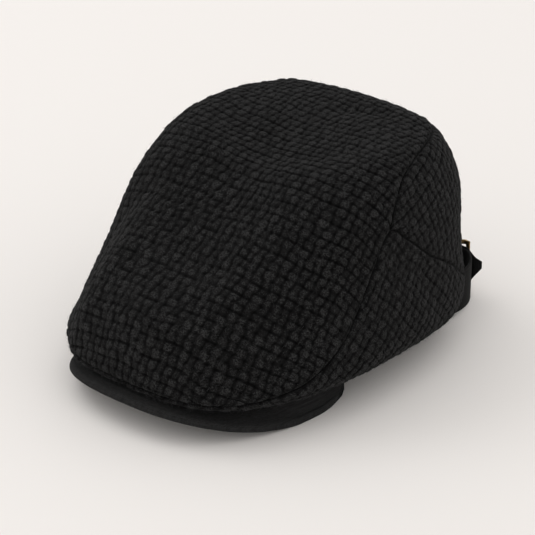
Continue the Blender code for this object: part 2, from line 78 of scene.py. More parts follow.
def gridFaces(rows, columns, start=0, wrapRows=False, wrapColumns=False, flip=False):
    # quads of a grid of points numbered row by row
    i, j = np.meshgrid(np.arange(rows if wrapRows else rows - 1),
                       np.arange(columns if wrapColumns else columns - 1), indexing="ij")
    n, m = (i + 1) % rows, (j + 1) % columns
    quads = np.stack([i * columns + j, i * columns + m, n * columns + m, n * columns + j], -1).reshape(-1, 4)
    return (quads[:, ::-1] if flip else quads) + start


def unit(vectors):
    # each vector divided by its length
    return vectors / np.maximum(np.linalg.norm(vectors, axis=-1, keepdims=True), 1e-9)


def gridNormals(points):
    # cross product of the differences along a grid's two directions
    return unit(np.cross(np.gradient(points, axis=1), np.gradient(points, axis=0)))


def surfaceArea(points):
    # sum of the lengths of the cross products of a grid's two steps
    cells = np.cross(np.gradient(points, axis=0), np.gradient(points, axis=1))
    return float(np.linalg.norm(cells, axis=-1).sum())


def easedStep(share):
    # cubic that leaves 0 and reaches 1 level
    return share * share * (3 - 2 * share)


def catmullRom(a, b, c, d, f):
    # cubic from b to c whose slopes there follow their neighbours
    squared, cubed = 2 * a - 5 * b + 4 * c - d, 3 * b - a - 3 * c + d
    return 0.5 * (2 * b + (c - a) * f + squared * f ** 2 + cubed * f ** 3)


def onLeft(degrees):
    # the angle of the same place on the left half
    return np.where(degrees > 90, 180 - degrees, degrees)


def fit(piece, node, body="cap"):
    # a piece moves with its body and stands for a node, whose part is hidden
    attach(piece, body)
    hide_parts(node)


def arcAlong(points, axis):
    # length run along one direction of a grid, from its first line
    steps = np.linalg.norm(np.diff(points, axis=axis), axis=-1)
    pad = [(0, 0), (0, 0)]
    pad[axis] = (1, 0)
    return np.cumsum(np.pad(steps, pad), axis=axis)


def newGroup(name, inputs, outputs):
    # a shader node group with its named inputs and outputs
    group = bpy.data.node_groups.new(name, "ShaderNodeTree")
    for label, kind, value in inputs:
        socket = group.interface.new_socket(label, in_out="INPUT", socket_type=kind)
        if value is not None:
            socket.default_value = value
    for label, kind in outputs:
        group.interface.new_socket(label, in_out="OUTPUT", socket_type=kind)
    return group, group.nodes.new("NodeGroupInput"), group.nodes.new("NodeGroupOutput")


def addNode(tree, kind, **settings):
    # one node with its settings
    node = tree.nodes.new(kind)
    for key, value in settings.items():
        setattr(node, key, value)
    return node


def mathNode(tree, operation, a, b=None, clamp=False):
    # one sum, product or other operation on numbers or sockets
    node = addNode(tree, "ShaderNodeMath", operation=operation, use_clamp=clamp)
    for socket, value in zip(node.inputs, (a, b)):
        if isinstance(value, (int, float)):
            socket.default_value = value
        elif value is not None:
            tree.links.new(value, socket)
    return node.outputs[0]


def makeFibreGroup():
    # loose fibres: a fine noise drawn out along the yarn and a second one across it
    group, given, made = newGroup("fibreGrain",
                                  [("Vector", "NodeSocketVector", None), ("Scale", "NodeSocketFloat", 1.0),
                                   ("Contrast", "NodeSocketFloat", 1.0)],
                                  [("Shade", "NodeSocketFloat"), ("Height", "NodeSocketFloat")])
    link = group.links.new
    parts = []
    for stretch in ((800, 2000, 900), (2000, 900, 1300)):
        scaled = addNode(group, "ShaderNodeVectorMath", operation="MULTIPLY")
        scaled.inputs[1].default_value = stretch
        link(given.outputs["Vector"], scaled.inputs[0])
        noise = addNode(group, "ShaderNodeTexNoise")
        noise.inputs["Detail"].default_value = 3.0
        noise.inputs["Roughness"].default_value = 0.65
        noise.inputs["Distortion"].default_value = 0.6
        link(scaled.outputs[0], noise.inputs["Vector"])
        link(given.outputs["Scale"], noise.inputs["Scale"])
        parts.append(noise.outputs["Fac"])
    both = mathNode(group, "MULTIPLY", mathNode(group, "ADD", parts[0], parts[1]), 0.5)
    spread = mathNode(group, "MULTIPLY", mathNode(group, "SUBTRACT", both, 0.5), given.outputs["Contrast"])
    link(mathNode(group, "ADD", spread, 0.5, clamp=True), made.inputs["Shade"])
    link(both, made.inputs["Height"])
    return group


def makeWeaveGroup():
    # twill or plain weave: two crossed sets of ridges, turned by Slant, on the fabric's own coordinates
    group, given, made = newGroup("closeWeave",
                                  [("Vector", "NodeSocketVector", None),
                                   ("Threads", "NodeSocketFloat", 1800.0), ("Slant", "NodeSocketFloat", 0.8)],
                                  [("Ridge", "NodeSocketFloat"), ("Blotch", "NodeSocketFloat")])
    link = group.links.new
    split = addNode(group, "ShaderNodeSeparateXYZ")
    link(given.outputs["Vector"], split.inputs[0])
    x, y = split.outputs[0], split.outputs[1]
    slanted = mathNode(group, "ADD", x, mathNode(group, "MULTIPLY", y, given.outputs["Slant"]))
    waves = []
    for line in (slanted, y):
        phase = mathNode(group, "MULTIPLY", line, given.outputs["Threads"])
        waves.append(mathNode(group, "SINE", mathNode(group, "MULTIPLY", phase, 2 * math.pi)))
    ridge = mathNode(group, "ADD", mathNode(group, "MULTIPLY", waves[0], 0.32),
                     mathNode(group, "MULTIPLY", waves[1], 0.18))
    link(mathNode(group, "ADD", ridge, 0.5), made.inputs["Ridge"])
    noise = addNode(group, "ShaderNodeTexNoise")
    noise.inputs["Scale"].default_value = 260.0
    noise.inputs["Detail"].default_value = 5.0
    link(given.outputs["Vector"], noise.inputs["Vector"])
    link(noise.outputs["Fac"], made.inputs["Blotch"])
    return group


fibreGroup = makeFibreGroup()
weaveGroup = makeWeaveGroup()


def startMaterial(name, sockets):
    # a material whose main shader has the values given
    material = bpy.data.materials.new(name)
    material.use_nodes = True
    tree = material.node_tree
    shader = tree.nodes["Principled BSDF"]
    for label, value in sockets.items():
        shader.inputs[label].default_value = value
    return material, tree, shader


def useGroup(tree, group, vector, **values):
    # a node group placed on a vector with its own values
    node = addNode(tree, "ShaderNodeGroup", node_tree=group)
    tree.links.new(vector, node.inputs["Vector"])
    for label, value in values.items():
        node.inputs[label].default_value = value
    return node


def colourRamp(tree, factor, stops):
    # colours blended between stops along a factor
    ramp = addNode(tree, "ShaderNodeValToRGB")
    tree.links.new(factor, ramp.inputs[0])
    elements = ramp.color_ramp.elements
    for k, (place, colour) in enumerate(stops):
        element = elements[k] if k < 2 else elements.new(place)
        element.position = place
        element.color = (*colour, 1.0)
    return ramp.outputs["Color"]


def addBump(tree, shader, height, distance):
    # a height in metres turned into the shader's normal
    bump = addNode(tree, "ShaderNodeBump")
    bump.inputs["Strength"].default_value = 1.0
    bump.inputs["Distance"].default_value = distance
    tree.links.new(height, bump.inputs["Height"])
    tree.links.new(bump.outputs[0], shader.inputs["Normal"])


def grey(level):
    # the same value in red, green and blue
    return (level, level, level)


# the knit's ramp: the darkest stop is painted shade in the gaps, holes and grooves between nubs, the middle
# one is the yarn, and the lightest is the unshaded nub tops with their lighter loose fibres
knitLook = {"deep": grey(0.0006), "yarn": grey(0.0058), "nubTop": grey(0.03), "roughness": 0.98,
            "fibreBump": 0.0007, "sheen": 0.03}


def knitMaterial(look):
    # colour from painted shade between the nubs and at the seams, with a random tone per nub, times the loose
    # fibres; bump from the fibres
    material, tree, shader = startMaterial("blackKnit", {"Roughness": look["roughness"],
                                                         "Sheen Weight": look["sheen"],
                                                         "Sheen Roughness": 0.45,
                                                         "Specular IOR Level": 0.08})
    coords = addNode(tree, "ShaderNodeTexCoord")
    grain = useGroup(tree, fibreGroup, coords.outputs["UV"], Scale=1.0, Contrast=6.0)
    nubShadeAndTone = addNode(tree, "ShaderNodeAttribute", attribute_name="nubShadeAndTone")
    lit = mathNode(tree, "MULTIPLY", nubShadeAndTone.outputs["Fac"], mathNode(tree, "ADD", grain.outputs["Shade"], 0.25))
    # a ramp starts with two stops, so the middle one comes last
    colour = colourRamp(tree, lit, [(0.0, look["deep"]), (1.0, look["nubTop"]), (0.5, look["yarn"])])
    tree.links.new(colour, shader.inputs["Base Color"])
    addBump(tree, shader, grain.outputs["Height"], look["fibreBump"])
    return material


def wovenMaterial(name, dark, light, roughness, threads, slant, bump):
    # close-woven cloth: ridges in the bump, slubs and blotches in the colour; threads to a metre, bump
    # in metres
    material, tree, shader = startMaterial(name, {"Roughness": roughness, "Specular IOR Level": 0.15})
    coords = addNode(tree, "ShaderNodeTexCoord")
    weave = useGroup(tree, weaveGroup, coords.outputs["UV"], Threads=threads, Slant=slant)
    grain = useGroup(tree, fibreGroup, coords.outputs["UV"], Scale=1.0, Contrast=5.0)
    ridge = weave.outputs["Ridge"]
    shade = mathNode(tree, "MULTIPLY", mathNode(tree, "ADD", ridge, weave.outputs["Blotch"]), 0.6)
    shade = mathNode(tree, "MULTIPLY", shade, mathNode(tree, "ADD", grain.outputs["Shade"], 0.4))
    colour = colourRamp(tree, shade, [(0.15, dark), (0.85, light)])
    tree.links.new(colour, shader.inputs["Base Color"])
    height = mathNode(tree, "ADD", ridge, mathNode(tree, "MULTIPLY", grain.outputs["Height"], 0.6))
    addBump(tree, shader, height, bump)
    return material


def metalMaterial(name, dark, bright, roughness):
    # aged brass: tarnish gathers in patches, fine scratches cross it
    material, tree, shader = startMaterial(name, {"Metallic": 1.0})
    coords = addNode(tree, "ShaderNodeTexCoord")
    patches = addNode(tree, "ShaderNodeTexNoise")
    patches.inputs["Scale"].default_value = 420.0
    patches.inputs["Detail"].default_value = 6.0
    tree.links.new(coords.outputs["Object"], patches.inputs["Vector"])
    scratches = addNode(tree, "ShaderNodeTexNoise")
    scratches.inputs["Scale"].default_value = 3000.0
    tree.links.new(coords.outputs["Object"], scratches.inputs["Vector"])
    colour = colourRamp(tree, patches.outputs["Fac"], [(0.36, dark), (0.62, bright)])
    tree.links.new(colour, shader.inputs["Base Color"])
    rough = mathNode(tree, "ADD", mathNode(tree, "MULTIPLY", patches.outputs["Fac"], -0.25), roughness + 0.2)
    tree.links.new(rough, shader.inputs["Roughness"])
    addBump(tree, shader, scratches.outputs["Fac"], 0.00002)
    return material


blackKnit = knitMaterial(knitLook)
blackTwill = wovenMaterial("blackTwill", grey(0.002), grey(0.022), 0.95, 1300, 0.9, 0.00008)
bandTwill = wovenMaterial("bandTwill", grey(0.004), grey(0.014), 0.75, 1500, 0.5, 0.00005)
satinTones = (0.006, 0.006, 0.007), (0.02, 0.02, 0.023)  # a little blue
blackSatin = wovenMaterial("blackSatin", *satinTones, 0.38, 2600, 0.15, 0.00002)
blackWebbing = wovenMaterial("blackWebbing", grey(0.0012), grey(0.006), 0.9, 900, 0.0, 0.0001)
whiteBoard = wovenMaterial("whiteBoard", (0.55, 0.55, 0.52), (0.75, 0.75, 0.72), 0.6, 500, 0.0, 0.00002)
agedBrass = metalMaterial("agedBrass", (0.10, 0.062, 0.025), (0.42, 0.29, 0.13), 0.32)
print("materials made")


crown = {
    # contours from the hem up: half width, front y, back y, squareness in front and behind,
    # height in front, at the side and behind
    "contours": np.array([(80.5, -123.0, 110.0, 3.1, 2.8, 21.0, 16.0, 3.0),
                          (93.0, -122.8, 111.5, 2.6, 2.5, 31.0, 28.0, 24.0),
                          (90.5, -110.0, 106.5, 2.2, 2.5, 59.5, 61.5, 66.0),
                          (83.0, -72.0, 107.5, 2.3, 2.6, 83.0, 106.0, 88.0),
                          (67.5, -26.0, 90.0, 2.4, 2.8, 112.0, 125.5, 120.0),
                          (33.0, -3.0, 67.0, 2.0, 2.3, 118.5, 126.5, 130.0)]),
    "apex": (30.0, 125.8),
    "smoothLevel": 4,
    # seams: angle from +X in degrees, and share of the way down from the apex to the hem
    "bandSeam": ((-90, 0.915), (-56, 0.89), (-30, 0.72), (-20, 0.60), (-12, 0.54), (-3, 0.57), (9, 0.62),
                 (24, 0.68), (37, 0.75), (50, 0.80), (90, 0.81)),
    "rearSeam": ((-12, 0.54), (-7, 0.48), (-2, 0.43), (8, 0.38), (24, 0.345), (36, 0.335), (60, 0.35),
                 (90, 0.37)),
    "corner": -12.0,  # where the three seams meet
    "cornerGap": 0.6,
    "topFront": -56.0,  # corners of the top panel's four edges
    "topBack": 60.0,
    "openingEdge": 50.0,
    # folds pressed into the cloth: ends of a line, half width, depth (a ridge has a negative depth)
    "folds": [((74, -84, 44), (58, -50, 92), 13.0, 4.0), ((-74, -84, 44), (-58, -50, 92), 13.0, 4.0),
              ((44, -114, 38), (38, -82, 76), 10.0, -2.2), ((-44, -114, 38), (-38, -82, 76), 10.0, -2.6),
              ((8, 50, 130), (30, 60, 128), 5.0, 1.2), ((86, -30, 40), (84, -60, 30), 7.0, 1.6),
              ((-86, -30, 40), (-84, -60, 30), 7.0, 1.6), ((86, 20, 60), (90, 40, 30), 9.0, 1.5),
              ((-46, 70, 128), (46, 70, 128), 9.0, -1.5)],
}


def contourPoints(level, angle):
    # superellipse in plan whose front and back halves differ; its height turns with the angle's sine
    contours, (apexY, apexZ) = crown["contours"], crown["apex"]
    count = len(contours)
    if level == count:
        return np.broadcast_to(np.array((0.0, apexY, apexZ)), (*angle.shape, 3))
    half, front, back, squareFront, squareBack, zFront, zSide, zBack = contours[level]
    middle = level / count * apexY
    c, s = np.cos(angle), np.sin(angle)
    depth = np.where(s < 0, middle - front, back - middle)
    power = np.where(s < 0, squareFront, squareBack)
    radius = (np.abs(c / half) ** power + np.abs(s / depth) ** power) ** (-1 / power)
    if level < crown["smoothLevel"]:
        height = zSide + (np.where(s < 0, zFront, zBack) - zSide) * s * s
    else:
        height = zSide + (zBack - zFront) / 2 * s + ((zBack + zFront) / 2 - zSide) * s * s
    return np.stack([radius * c, middle + radius * s, height], -1)


def smoothCrown(angle, down):
    # Catmull-Rom curve through the contours at one angle, down from the apex (0) to the hem (1)
    count = len(crown["contours"])
    rings = [contourPoints(level, angle) for level in range(count + 1)]
    rings = [rings[0]] + rings + [contourPoints(count - 1, angle + math.pi)]
    rings = np.stack(rings)
    t = np.clip((1 - down) * count, 0, count - 1e-9)
    low = t.astype(int)
    f = (t - low)[..., None]
    return catmullRom(*(np.take_along_axis(rings, (low + k)[None, ..., None], 0)[0] for k in range(4)), f)


def crownAt(q):
    # crown point for a place on the unit disc: the angle round it and the distance from its middle
    return smoothCrown(np.arctan2(q[..., 1], q[..., 0]), np.hypot(q[..., 0], q[..., 1]))


def crownNormals(q, step=0.004):
    # cross product of the differences of the crown on both sides of a place
    along = crownAt(q + (step, 0)) - crownAt(q - (step, 0))
    back = crownAt(q + (0, step)) - crownAt(q - (0, step))
    return unit(np.cross(along, back))


def foldDepth(points):
    # sum of gaussian grooves, each along a line between two points
    total = np.zeros(points.shape[:-1])
    for start, end, width, depth in crown["folds"]:
        a, line = np.array(start, float), np.array(end, float) - start
        along = np.clip((points - a) @ line / (line @ line), 0, 1)
        off = np.linalg.norm(points - a - along[..., None] * line, axis=-1)
        total += depth * np.exp(-(off / width) ** 2)
    return total


def clothSurface(q):
    # the outer face of the crown with its folds, and its normals
    base, normals = crownAt(q), crownNormals(q)
    return base - foldDepth(base)[..., None] * normals, normals


def seamCurve(table, degrees):
    # smooth curve through a seam's table, the same on the left and the right
    angles, shares = (np.array(column, float) for column in zip(*table))
    slopes = np.gradient(shares, angles)
    x = onLeft(degrees)
    k = np.clip(np.searchsorted(angles, x) - 1, 0, len(angles) - 2)
    width = angles[k + 1] - angles[k]
    f = (x - angles[k]) / width
    return ((2 * f ** 3 - 3 * f ** 2 + 1) * shares[k] + (f ** 3 - 2 * f ** 2 + f) * width * slopes[k]
            + (3 * f ** 2 - 2 * f ** 3) * shares[k + 1] + (f ** 3 - f ** 2) * width * slopes[k + 1])


def onDisc(degrees, down):
    # polar angle and distance turned into a place on the unit disc
    angle = np.radians(degrees)
    return np.stack([down * np.cos(angle), down * np.sin(angle)], -1)


def topEdge(degrees):
    # the band seam in front of the corner and the rear seam behind it
    return np.where(onLeft(degrees) <= crown["corner"], seamCurve(crown["bandSeam"], degrees),
                    seamCurve(crown["rearSeam"], degrees))


def evenSide(start, stop, count):
    # disc points along the top panel's edge between two angles, evenly spaced on the crown
    fine = np.linspace(start, stop, 2000)
    fine = np.where(fine < -90, fine + 360, fine)
    q = onDisc(fine, topEdge(fine))
    run = np.concatenate([[0], np.cumsum(np.linalg.norm(np.diff(crownAt(q), axis=0), axis=1))])
    at = np.linspace(0, run[-1], count)
    return np.stack([np.interp(at, run, q[:, k]) for k in (0, 1)], -1)


def topDisc(rows, columns):
    # Coons patch between the panel's front, right, back and left edges, in disc coordinates
    low, high = crown["topFront"], crown["topBack"]
    front, back = evenSide(-180 - low, low, columns), evenSide(180 - high, high, columns)
    right = evenSide(low, high, rows)
    left = right * (-1, 1)
    a = np.linspace(0, 1, columns)[None, :, None]
    b = np.linspace(0, 1, rows)[:, None, None]
    corners = (1 - a) * (1 - b) * front[0] + a * (1 - b) * front[-1]
    corners = corners + (1 - a) * b * back[0] + a * b * back[-1]
    return (1 - b) * front[None] + b * back[None] + (1 - a) * left[:, None] + a * right[:, None] - corners


knit = {"rowHeight": 4.7, "unitWidth": 10.1, "wide": 0.29, "relief": 0.9, "lowShare": 0.7,
        "rowGroove": 0.55, "grooveWidth": 0.30, "wander": (1.7, 1.5), "edgePowers": (3.0, 3.2),
        "holeStart": 0.65, "ply": 0.09, "thickness": 2.0, "seamDrop": 1.25, "seamWidth": 0.75, "inset": 0.8,
        "flatten": 0.6, "puff": (0.35, 4.0, 2.2), "hemLine": (6.0, 0.8)}


def drift(u, v, seed):
    # slow wandering of the rows: a few sine waves with random directions
    random = np.random.default_rng(seed)
    total = np.zeros_like(u)
    for _ in range(7):
        wave = random.uniform(18, 60)
        turn, phase = random.uniform(0, 2 * math.pi, 2)
        total += np.sin(2 * math.pi * (u * math.cos(turn) + v * math.sin(turn)) / wave + phase) * wave / 60
    return total / 3


def knitRelief(u, v, seed, lines):
    # basket-like knit: rows of a wide high nub and a narrow low one in turn, shifted by half a unit within
    # each pair of rows and again from pair to pair, with a thin deep groove between the pairs
    random = np.random.default_rng(seed)
    u, v = u + drift(u, v, seed + 1) * knit["wander"][0], v + drift(u, v, seed + 2) * knit["wander"][1]
    table = random.uniform(-1, 1, (6, 128, 128))
    rowPlace = v / knit["rowHeight"]
    row = np.floor(rowPlace).astype(int)
    y = 2 * (rowPlace - row) - 1
    half = np.where((row % 4 == 1) | (row % 4 == 2), 0.5, 0.0)
    lean = np.where(row % 2 == 0, 1, -1)
    place = u / knit["unitWidth"] + half + 0.045 * table[4, row % 128, 7] + 0.035 * y * lean
    unitNumber = np.floor(place).astype(int)
    f = place - unitNumber - 0.5
    high = np.abs(f) < knit["wide"]
    x = np.where(high, f / knit["wide"], (f - np.sign(f) * 0.5) / (0.5 - knit["wide"]))
    column = np.where(high, 2 * unitNumber, 2 * unitNumber + np.where(f > 0, 1, -1))
    pick = table[:, row % 128, column % 128]
    x = np.clip(x * (1 + 0.06 * pick[3]) + 0.10 * pick[1], -1, 1)
    y = np.clip(y + 0.10 * pick[2], -1, 1)
    edgeX, edgeY = np.abs(x) ** knit["edgePowers"][0], np.abs(y) ** knit["edgePowers"][1]
    hole = np.clip(edgeX + edgeY - knit["holeStart"], 0, 1)
    dome = np.clip(1 - 0.5 * edgeX - 0.36 * edgeY - 0.7 * hole, -0.2, 1)
    ply = knit["ply"] * np.sin(2 * math.pi * (0.9 * x + 0.8 * y * lean) + 3 * pick[0]) * dome
    grooveSide = (1 + np.where(row % 2 == 0, y, -y)) * knit["rowHeight"] / 2
    groove = lines * np.exp(-(grooveSide / knit["grooveWidth"]) ** 2)
    top = np.where(high, 1.0, knit["lowShare"]) + 0.16 * pick[0]
    height = knit["relief"] * (top * dome + ply) - knit["rowGroove"] * groove
    # painted shade: this colour factor darkens towards each nub's edges, in the holes at its corners, in the
    # thin grooves between pairs of rows and a little on the narrow low nubs; pick[5] gives each nub a random
    # tone
    shade = (1 - 0.55 * edgeX - 0.22 * edgeY - 0.9 * hole) * (1 - 0.8 * groove)
    return height, np.clip(shade * (np.where(high, 0.9, 0.76) + 0.12 * pick[5]), 0, 1)


def resample(grid, shape):
    # smaller or larger grid of the same patch, by straight interpolation along both directions
    for axis in (0, 1):
        grid = np.moveaxis(grid, axis, 0)
        at = np.linspace(0, len(grid) - 1, shape[axis])
        low = np.minimum(at.astype(int), len(grid) - 2)
        f = (at - low).reshape(-1, *[1] * (grid.ndim - 1))
        grid = np.moveaxis(grid[low] * (1 - f) + grid[low + 1] * f, 0, axis)
    return grid


def flatPattern(base, turn):
    # the panel laid flat with its angles kept as nearly as possible (least-squares conformal map of a
    # coarse grid), scaled to its true area; the line across its middle is then turned by an angle
    shape = (19, 33)
    coarse = resample(base, shape)
    count = shape[0] * shape[1]
    quads = gridFaces(*shape)
    corners = np.concatenate([quads[:, [0, 1, 2]], quads[:, [0, 2, 3]]])
    p = coarse.reshape(-1, 3)[corners]
    ex = unit(p[:, 1] - p[:, 0])
    normal = np.cross(p[:, 1] - p[:, 0], p[:, 2] - p[:, 0])
    ey = np.cross(unit(normal), ex)
    local = np.stack([((p - p[:, :1]) * ex[:, None]).sum(-1), ((p - p[:, :1]) * ey[:, None]).sum(-1)], -1)
    opposite = np.roll(local, -2, 1) - np.roll(local, -1, 1)
    weight = opposite / np.sqrt(np.linalg.norm(normal, axis=1))[:, None, None]
    rows = np.arange(len(corners))[:, None]
    system = np.zeros((2 * len(corners), 2 * count))
    system[rows, corners] = weight[..., 0]
    system[rows, corners + count] = -weight[..., 1]
    system[rows + len(corners), corners] = weight[..., 1]
    system[rows + len(corners), corners + count] = weight[..., 0]
    first, last = shape[0] // 2 * shape[1] + 4, (shape[0] // 2 + 1) * shape[1] - 5  # two pinned points
    pins = np.array([first, last, first + count, last + count])
    values = np.array([0.0, 100.0, 0.0, 0.0])
    free = np.setdiff1d(np.arange(2 * count), pins)
    matrix = system[:, free]
    solved = np.empty(2 * count)
    solved[pins] = values
    solved[free] = np.linalg.solve(matrix.T @ matrix, -matrix.T @ (system[:, pins] @ values))
    flat = np.stack([solved[:count], solved[count:]], -1).reshape(*shape, 2)
    edgeA, edgeB = np.gradient(flat, axis=0), np.gradient(flat, axis=1)
    flatArea = np.abs(edgeA[..., 0] * edgeB[..., 1] - edgeA[..., 1] * edgeB[..., 0]).sum()
    centre = (shape[0] // 2, shape[1] // 2)
    flat = (flat - flat[centre]) * math.sqrt(surfaceArea(coarse) / flatArea)
    across = flat[centre[0], centre[1] + 1] - flat[centre[0], centre[1] - 1]
    angle = math.radians(turn) - math.atan2(across[1], across[0])
    c, d = math.cos(angle), math.sin(angle)
    flat = np.stack([flat[..., 0] * c - flat[..., 1] * d, flat[..., 0] * d + flat[..., 1] * c], -1)
    print("  flat pattern", np.round(np.ptp(flat, axis=(0, 1)), 1), "mm")
    return resample(flat, base.shape[:2])


def nearestEdge(points):
    # distance from each point of a grid to the grid's own border
    border = np.concatenate([points[0], points[-1], points[:, 0], points[:, -1]]).astype(np.float32)
    flat = points.reshape(-1, 3).astype(np.float32)
    found = np.empty(len(flat), np.float32)
    for k in range(0, len(flat), 4000):
        part = flat[k:k + 4000]
        squares = (part ** 2).sum(1)[:, None] + (border ** 2).sum(1)[None] - 2 * part @ border.T
        found[k:k + 4000] = np.sqrt(np.maximum(squares.min(1), 0))
    return found.reshape(points.shape[:2])


def knitPanel(name, q, turn, seed, coarse=4, lines=1.0, hemGroove=0.0):
    # the outer face is the crown's surface plus the knit's relief, less a gaussian dip at the seams; a
    # plain inner face, four times coarser, and a rim close the panel
    base, normals = clothSurface(q)
    flat = flatPattern(base, turn)
    a, b = flat[..., 0], flat[..., 1]
    down = arcAlong(base, 0)
    hem = down[-1:] - down
    edge = nearestEdge(base)
    facing = gridNormals(base)
    normals = facing * np.sign(np.sum(facing * normals))
    relief, shade = knitRelief(a, b, seed, lines)
    flatten = 1 - np.exp(-(edge / knit["flatten"]) ** 2)
    drop = knit["seamDrop"] * np.exp(-(edge / knit["seamWidth"]) ** 2)
    swell, away, spread = knit["puff"]
    puff = swell * np.exp(-((edge - away) / spread) ** 2)
    stitch, width = knit["hemLine"]
    drop += hemGroove * np.exp(-((hem - stitch) / width) ** 2)
    lift = relief * flatten - knit["inset"] - drop + puff
    outer = base + lift[..., None] * normals
    inner = (base - (knit["thickness"] + knit["inset"]) * normals)[::coarse, ::coarse]
    shape, innerShape = outer.shape[:2], inner.shape[:2]
    faces = gridFaces(*shape).tolist() + gridFaces(*innerShape, shape[0] * shape[1], flip=True).tolist()
    faces += rimFaces(*shape, *innerShape, coarse)
    points = np.concatenate([outer.reshape(-1, 3), inner.reshape(-1, 3)])
    uv = np.concatenate([flat.reshape(-1, 2), flat[::coarse, ::coarse].reshape(-1, 2)])
    plain = np.full(innerShape[0] * innerShape[1], 0.3)
    # painted shade: the colour factor falls to 35% along the seams, where the cloth is flattened and dips
    nubShadeAndTone = np.concatenate([(shade * (0.35 + 0.65 * flatten)).ravel(), plain])
    return addMesh(name, points, faces, blackKnit, uv, nubShadeAndTone), outer, normals, base


def rimFaces(rows, columns, innerRows, innerColumns, coarse):
    # polygons between the fine outer border and every coarse-th point of the inner border
    start = rows * columns
    outerAt = np.arange(start).reshape(rows, columns)
    innerAt = start + np.arange(innerRows * innerColumns).reshape(innerRows, innerColumns)
    faces = []
    for fine, plain in ((outerAt[0][::-1], innerAt[0][::-1]), (outerAt[-1], innerAt[-1]),
                        (outerAt[:, 0], innerAt[:, 0]), (outerAt[:, -1][::-1], innerAt[:, -1][::-1])):
        for k in range(len(plain) - 1):
            run = fine[k * coarse:(k + 1) * coarse + 1][::-1].tolist()
            faces.append([*run, int(plain[k]), int(plain[k + 1])])
    return faces


def sewnSheet(piece, width, length):
    # prints a piece's name and flat size in millimetres
    print("  sheet", piece.name, round(width), "x", round(length), "mm")


def sewnGrid(piece, grid):
    # flat size from the longest row and column of the made surface
    width, length = (float(np.ptp(arcAlong(grid, axis))) for axis in (1, 0))
    sewnSheet(piece, width, length)


panels = {"topRows": 321, "topColumns": 257, "bandRows": 89, "bandColumns": 361, "rearRows": 121,
          "rearColumns": 377}


def makePanels():
    # the bands and the rear are straight blends between two seams on the unit disc; the top is a patch
    made = {}
    top = topDisc(panels["topRows"], panels["topColumns"])
    made["top_panel"] = knitPanel("knit_top_panel", top, 0, 11)  # last two: the rows' turn, the seed
    degrees = np.linspace(-90, crown["openingEdge"], panels["bandColumns"])
    t = np.linspace(0, 1, panels["bandRows"])[:, None]
    seam = seamCurve(crown["bandSeam"], degrees)[None]
    left = onDisc(np.broadcast_to(degrees, (len(t), len(degrees))), seam + (1 - seam) * t)
    right = left[:, ::-1] * (-1, 1)
    made["side_band_left"] = knitPanel("knit_side_band_left", left, -72, 23, lines=0.45, hemGroove=0.5)
    made["side_band_right"] = knitPanel("knit_side_band_right", right, 72, 37, lines=0.45, hemGroove=0.5)
    start = crown["corner"] + crown["cornerGap"]
    degrees = np.linspace(start, 180 - start, panels["rearColumns"])
    t = np.linspace(0, 1, panels["rearRows"])[:, None]
    high, low = seamCurve(crown["rearSeam"], degrees)[None], seamCurve(crown["bandSeam"], degrees)[None]
    rear = onDisc(np.broadcast_to(degrees, (len(t), len(degrees))), high + (low - high) * t)
    made["rear_panel"] = knitPanel("knit_rear_panel", rear, 0, 41, lines=0.6)
    for node, (piece, _, _, base) in made.items():
        fit(piece, node)
        sewnGrid(piece, base)
    return made


knitPanels = makePanels()
print("knit panels made")


peak = {"halfWidth": 75.5, "front": -129.7, "back": -22.0, "squareness": 2.75, "midHeight": 19.4,
        "sideHeight": 2.6, "arch": 3.2, "tipRise": 10.0, "riseStart": -50.0, "tipTurn": 0.972, "slope": 0.4,
        "foot": 0.25, "seamHeight": 15.5, "stack": 4.6, "cover": 1.1, "leastCover": 0.7, "seamRim": 1.1,
        "stitches": ((0.28, 4.5, 0.5), (0.12, 9.0, 0.5)), "headHalfWidth": 77.4, "headFront": -83.5,
        "headSquareness": 2.4, "headTurn": 0.84}


def signedPower(value, power):
    # power of the size, with the sign kept
    return np.sign(value) * np.abs(value) ** power


def peakPlan(turn, share):
    # place between the outer edge (0) and the head (1); turn runs from the right tip to the left one
    a = turn * math.pi / 2
    n, m = peak["squareness"], peak["headSquareness"]
    outer = np.stack([peak["halfWidth"] * signedPower(np.sin(a), 2 / n),
                      peak["back"] + (peak["front"] - peak["back"]) * np.cos(a) ** (2 / n)], -1)
    b = a * peak["headTurn"]
    inner = np.stack([peak["headHalfWidth"] * signedPower(np.sin(b), 2 / m),
                      peak["headFront"] * np.cos(b) ** (2 / m)], -1)
    width = np.linalg.norm(inner - outer, axis=-1)
    return outer + (inner - outer) * share[..., None], width


def peakTop(plan, share, width):
    # arched across, climbing at the tips and towards the head, and level where it stands
    across = np.clip(np.abs(plan[..., 0]) / peak["halfWidth"], 0, 1)
    height = peak["sideHeight"] + (peak["midHeight"] - peak["sideHeight"]) * (1 - across ** peak["arch"])
    climb = np.clip((plan[..., 1] - peak["riseStart"]) / (peak["back"] - peak["riseStart"]), 0, 1)
    edge = np.maximum(height, peak["stack"]) + peak["tipRise"] * climb ** 2
    rise = easedStep(np.clip((share - peak["foot"]) / (1 - peak["foot"]), 0, 1))
    return edge + np.minimum(np.maximum(edge, peak["seamHeight"]) - edge, peak["slope"] * width) * rise


